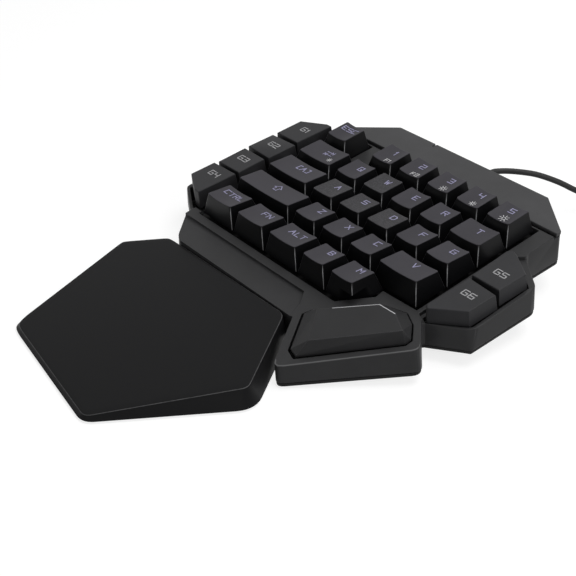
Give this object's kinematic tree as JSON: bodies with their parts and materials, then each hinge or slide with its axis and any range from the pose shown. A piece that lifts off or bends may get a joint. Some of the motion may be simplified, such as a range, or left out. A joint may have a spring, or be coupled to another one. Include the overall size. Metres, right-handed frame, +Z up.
{
  "type": "gaming keypad",
  "caption": "One-handed gaming keypad on flip-out feet, with key wings at both sides, a faceted thumb key, a detachable wrist rest and a USB cable.",
  "frame": {"origin": "centre of the bounding box of the keypad and its wrist rest, without the cord, at desk height", "axes": "+X along the key rows to the thumb key's side, +Y to the rear where the cable leaves, +Z up"},
  "size_m": [0.2346, 0.4171, 0.038],
  "materials": {
    "key_plastic": "fine satin texture",
    "case_plastic": "satin",
    "base_plastic": "matte",
    "rest_plastic": "smooth satin",
    "frame_plastic": "matte",
    "rubber": "matte",
    "silicone": "translucent",
    "membrane_film": "clear film",
    "circuit_board": "green",
    "cable_jacket": "satin",
    "steel": "plated"
  },
  "bodies": {
    "keypad_case": {"bottom_cover": "base_plastic", "cable_coil": "cable_jacket", "case_screw_1": "steel", "case_screw_2": "steel", "case_screw_3": "steel", "case_screw_4": "steel", "case_screw_5": "steel", "controller_board": "circuit_board", "dome_sheet": "silicone", "front_pad_left": "rubber", "front_pad_right": "rubber", "key_frame": "frame_plastic", "membrane_sheet": "membrane_film", "rear_trim": "case_plastic", "strain_relief": "rubber", "top_cover": "case_plastic", "usb_cable": "cable_jacket", "usb_plug": "cable_jacket", "usb_plug_shell": "steel"},
    "wrist_rest": {"wrist_rest_cover": "rest_plastic", "wrist_rest_base": "base_plastic", "wrist_pad_rear": "rubber", "wrist_pad_front": "rubber"},
    "flip_foot_left_body": {"flip_foot_left": "base_plastic"},
    "flip_foot_right_body": {"flip_foot_right": "base_plastic"},
    "key_1_body": {"key_1": "key_plastic"},
    "key_2_body": {"key_2": "key_plastic"},
    "key_3_body": {"key_3": "key_plastic"},
    "key_4_body": {"key_4": "key_plastic"},
    "key_5_body": {"key_5": "key_plastic"},
    "key_a_body": {"key_a": "key_plastic"},
    "key_alt_body": {"key_alt": "key_plastic"},
    "key_b_body": {"key_b": "key_plastic"},
    "key_c_body": {"key_c": "key_plastic"},
    "key_caps_lock_body": {"key_caps_lock": "key_plastic"},
    "key_ctrl_body": {"key_ctrl": "key_plastic"},
    "key_d_body": {"key_d": "key_plastic"},
    "key_e_body": {"key_e": "key_plastic"},
    "key_esc_body": {"key_esc": "key_plastic"},
    "key_f_body": {"key_f": "key_plastic"},
    "key_fn_body": {"key_fn": "key_plastic"},
    "key_g_body": {"key_g": "key_plastic"},
    "key_g1_body": {"key_g1": "key_plastic"},
    "key_g2_body": {"key_g2": "key_plastic"},
    "key_g3_body": {"key_g3": "key_plastic"},
    "key_g4_body": {"key_g4": "key_plastic"},
    "key_g5_body": {"key_g5": "key_plastic"},
    "key_g6_body": {"key_g6": "key_plastic"},
    "key_m_body": {"key_m": "key_plastic"},
    "key_q_body": {"key_q": "key_plastic"},
    "key_r_body": {"key_r": "key_plastic"},
    "key_s_body": {"key_s": "key_plastic"},
    "key_shift_body": {"key_shift": "key_plastic"},
    "key_t_body": {"key_t": "key_plastic"},
    "key_tab_body": {"key_tab": "key_plastic"},
    "key_v_body": {"key_v": "key_plastic"},
    "key_w_body": {"key_w": "key_plastic"},
    "key_x_body": {"key_x": "key_plastic"},
    "key_z_body": {"key_z": "key_plastic"},
    "thumb_key_body": {"thumb_key": "key_plastic"}
  },
  "joints": [
    {"name": "key_1_press", "type": "slide", "parent": "keypad_case", "child": "key_1_body", "axis": [0, 0.1289, -0.9917], "range_m": [0, 0.0028], "stiffness_N_per_m": 80, "springref_m": -0.003, "deforming": ["dome_sheet"]},
    {"name": "key_2_press", "type": "slide", "parent": "keypad_case", "child": "key_2_body", "axis": [0, 0.1289, -0.9917], "range_m": [0, 0.0028], "stiffness_N_per_m": 80, "springref_m": -0.003, "deforming": ["dome_sheet"]},
    {"name": "key_3_press", "type": "slide", "parent": "keypad_case", "child": "key_3_body", "axis": [0, 0.1289, -0.9917], "range_m": [0, 0.0028], "stiffness_N_per_m": 80, "springref_m": -0.003, "deforming": ["dome_sheet"]},
    {"name": "key_4_press", "type": "slide", "parent": "keypad_case", "child": "key_4_body", "axis": [0, 0.1289, -0.9917], "range_m": [0, 0.0028], "stiffness_N_per_m": 80, "springref_m": -0.003, "deforming": ["dome_sheet"]},
    {"name": "key_5_press", "type": "slide", "parent": "keypad_case", "child": "key_5_body", "axis": [0, 0.1289, -0.9917], "range_m": [0, 0.0028], "stiffness_N_per_m": 80, "springref_m": -0.003, "deforming": ["dome_sheet"]},
    {"name": "key_a_press", "type": "slide", "parent": "keypad_case", "child": "key_a_body", "axis": [0, 0.1289, -0.9917], "range_m": [0, 0.0028], "stiffness_N_per_m": 80, "springref_m": -0.003, "deforming": ["dome_sheet"]},
    {"name": "key_alt_press", "type": "slide", "parent": "keypad_case", "child": "key_alt_body", "axis": [0, 0.1289, -0.9917], "range_m": [0, 0.0028], "stiffness_N_per_m": 80, "springref_m": -0.003, "deforming": ["dome_sheet"]},
    {"name": "key_b_press", "type": "slide", "parent": "keypad_case", "child": "key_b_body", "axis": [0, 0.1289, -0.9917], "range_m": [0, 0.0028], "stiffness_N_per_m": 80, "springref_m": -0.003, "deforming": ["dome_sheet"]},
    {"name": "key_c_press", "type": "slide", "parent": "keypad_case", "child": "key_c_body", "axis": [0, 0.1289, -0.9917], "range_m": [0, 0.0028], "stiffness_N_per_m": 80, "springref_m": -0.003, "deforming": ["dome_sheet"]},
    {"name": "key_caps_lock_press", "type": "slide", "parent": "keypad_case", "child": "key_caps_lock_body", "axis": [0, 0.1289, -0.9917], "range_m": [0, 0.0028], "stiffness_N_per_m": 80, "springref_m": -0.003, "deforming": ["dome_sheet"]},
    {"name": "key_ctrl_press", "type": "slide", "parent": "keypad_case", "child": "key_ctrl_body", "axis": [0, 0.1289, -0.9917], "range_m": [0, 0.0028], "stiffness_N_per_m": 80, "springref_m": -0.003, "deforming": ["dome_sheet"]},
    {"name": "key_d_press", "type": "slide", "parent": "keypad_case", "child": "key_d_body", "axis": [0, 0.1289, -0.9917], "range_m": [0, 0.0028], "stiffness_N_per_m": 80, "springref_m": -0.003, "deforming": ["dome_sheet"]},
    {"name": "key_e_press", "type": "slide", "parent": "keypad_case", "child": "key_e_body", "axis": [0, 0.1289, -0.9917], "range_m": [0, 0.0028], "stiffness_N_per_m": 80, "springref_m": -0.003, "deforming": ["dome_sheet"]},
    {"name": "key_esc_press", "type": "slide", "parent": "keypad_case", "child": "key_esc_body", "axis": [0, 0.1289, -0.9917], "range_m": [0, 0.0028], "stiffness_N_per_m": 80, "springref_m": -0.003, "deforming": ["dome_sheet"]},
    {"name": "key_f_press", "type": "slide", "parent": "keypad_case", "child": "key_f_body", "axis": [0, 0.1289, -0.9917], "range_m": [0, 0.0028], "stiffness_N_per_m": 80, "springref_m": -0.003, "deforming": ["dome_sheet"]},
    {"name": "key_fn_press", "type": "slide", "parent": "keypad_case", "child": "key_fn_body", "axis": [0, 0.1289, -0.9917], "range_m": [0, 0.0028], "stiffness_N_per_m": 80, "springref_m": -0.003, "deforming": ["dome_sheet"]},
    {"name": "key_g_press", "type": "slide", "parent": "keypad_case", "child": "key_g_body", "axis": [0, 0.1289, -0.9917], "range_m": [0, 0.0028], "stiffness_N_per_m": 80, "springref_m": -0.003, "deforming": ["dome_sheet"]},
    {"name": "key_g1_press", "type": "slide", "parent": "keypad_case", "child": "key_g1_body", "axis": [0, 0.1289, -0.9917], "range_m": [0, 0.0015], "stiffness_N_per_m": 80, "springref_m": -0.003, "deforming": ["dome_sheet"]},
    {"name": "key_g2_press", "type": "slide", "parent": "keypad_case", "child": "key_g2_body", "axis": [0, 0.1289, -0.9917], "range_m": [0, 0.0015], "stiffness_N_per_m": 80, "springref_m": -0.003, "deforming": ["dome_sheet"]},
    {"name": "key_g3_press", "type": "slide", "parent": "keypad_case", "child": "key_g3_body", "axis": [0, 0.1289, -0.9917], "range_m": [0, 0.0015], "stiffness_N_per_m": 80, "springref_m": -0.003, "deforming": ["dome_sheet"]},
    {"name": "key_g4_press", "type": "slide", "parent": "keypad_case", "child": "key_g4_body", "axis": [0, 0.1289, -0.9917], "range_m": [0, 0.0015], "stiffness_N_per_m": 80, "springref_m": -0.003, "deforming": ["dome_sheet"]},
    {"name": "key_g5_press", "type": "slide", "parent": "keypad_case", "child": "key_g5_body", "axis": [0, 0.1289, -0.9917], "range_m": [0, 0.0015], "stiffness_N_per_m": 80, "springref_m": -0.003, "deforming": ["dome_sheet"]},
    {"name": "key_g6_press", "type": "slide", "parent": "keypad_case", "child": "key_g6_body", "axis": [0, 0.1289, -0.9917], "range_m": [0, 0.0015], "stiffness_N_per_m": 80, "springref_m": -0.003, "deforming": ["dome_sheet"]},
    {"name": "key_m_press", "type": "slide", "parent": "keypad_case", "child": "key_m_body", "axis": [0, 0.1289, -0.9917], "range_m": [0, 0.0028], "stiffness_N_per_m": 80, "springref_m": -0.003, "deforming": ["dome_sheet"]},
    {"name": "key_q_press", "type": "slide", "parent": "keypad_case", "child": "key_q_body", "axis": [0, 0.1289, -0.9917], "range_m": [0, 0.0028], "stiffness_N_per_m": 80, "springref_m": -0.003, "deforming": ["dome_sheet"]},
    {"name": "key_r_press", "type": "slide", "parent": "keypad_case", "child": "key_r_body", "axis": [0, 0.1289, -0.9917], "range_m": [0, 0.0028], "stiffness_N_per_m": 80, "springref_m": -0.003, "deforming": ["dome_sheet"]},
    {"name": "key_s_press", "type": "slide", "parent": "keypad_case", "child": "key_s_body", "axis": [0, 0.1289, -0.9917], "range_m": [0, 0.0028], "stiffness_N_per_m": 80, "springref_m": -0.003, "deforming": ["dome_sheet"]},
    {"name": "key_shift_press", "type": "slide", "parent": "keypad_case", "child": "key_shift_body", "axis": [0, 0.1289, -0.9917], "range_m": [0, 0.0028], "stiffness_N_per_m": 80, "springref_m": -0.003, "deforming": ["dome_sheet"]},
    {"name": "key_t_press", "type": "slide", "parent": "keypad_case", "child": "key_t_body", "axis": [0, 0.1289, -0.9917], "range_m": [0, 0.0028], "stiffness_N_per_m": 80, "springref_m": -0.003, "deforming": ["dome_sheet"]},
    {"name": "key_tab_press", "type": "slide", "parent": "keypad_case", "child": "key_tab_body", "axis": [0, 0.1289, -0.9917], "range_m": [0, 0.0028], "stiffness_N_per_m": 80, "springref_m": -0.003, "deforming": ["dome_sheet"]},
    {"name": "key_v_press", "type": "slide", "parent": "keypad_case", "child": "key_v_body", "axis": [0, 0.1289, -0.9917], "range_m": [0, 0.0028], "stiffness_N_per_m": 80, "springref_m": -0.003, "deforming": ["dome_sheet"]},
    {"name": "key_w_press", "type": "slide", "parent": "keypad_case", "child": "key_w_body", "axis": [0, 0.1289, -0.9917], "range_m": [0, 0.0028], "stiffness_N_per_m": 80, "springref_m": -0.003, "deforming": ["dome_sheet"]},
    {"name": "key_x_press", "type": "slide", "parent": "keypad_case", "child": "key_x_body", "axis": [0, 0.1289, -0.9917], "range_m": [0, 0.0028], "stiffness_N_per_m": 80, "springref_m": -0.003, "deforming": ["dome_sheet"]},
    {"name": "key_z_press", "type": "slide", "parent": "keypad_case", "child": "key_z_body", "axis": [0, 0.1289, -0.9917], "range_m": [0, 0.0028], "stiffness_N_per_m": 80, "springref_m": -0.003, "deforming": ["dome_sheet"]},
    {"name": "thumb_key_press", "type": "slide", "parent": "keypad_case", "child": "thumb_key_body", "axis": [0, 0.1289, -0.9917], "range_m": [0, 0.0028], "stiffness_N_per_m": 80, "springref_m": -0.003, "deforming": ["dome_sheet"]},
    {"name": "flip_foot_left_fold", "type": "hinge", "parent": "keypad_case", "child": "flip_foot_left_body", "pos_m": [-0.04505, 0.10001, 0.01448], "axis": [-1, 0, 0], "range_deg": [0, 88]},
    {"name": "flip_foot_right_fold", "type": "hinge", "parent": "keypad_case", "child": "flip_foot_right_body", "pos_m": [0.04562, 0.10001, 0.01448], "axis": [-1, 0, 0], "range_deg": [0, 88]},
    {"name": "wrist_rest_detach", "type": "slide", "parent": "keypad_case", "child": "wrist_rest", "axis": [0, -1, 0], "range_m": [0, 0.05]}
  ]
}
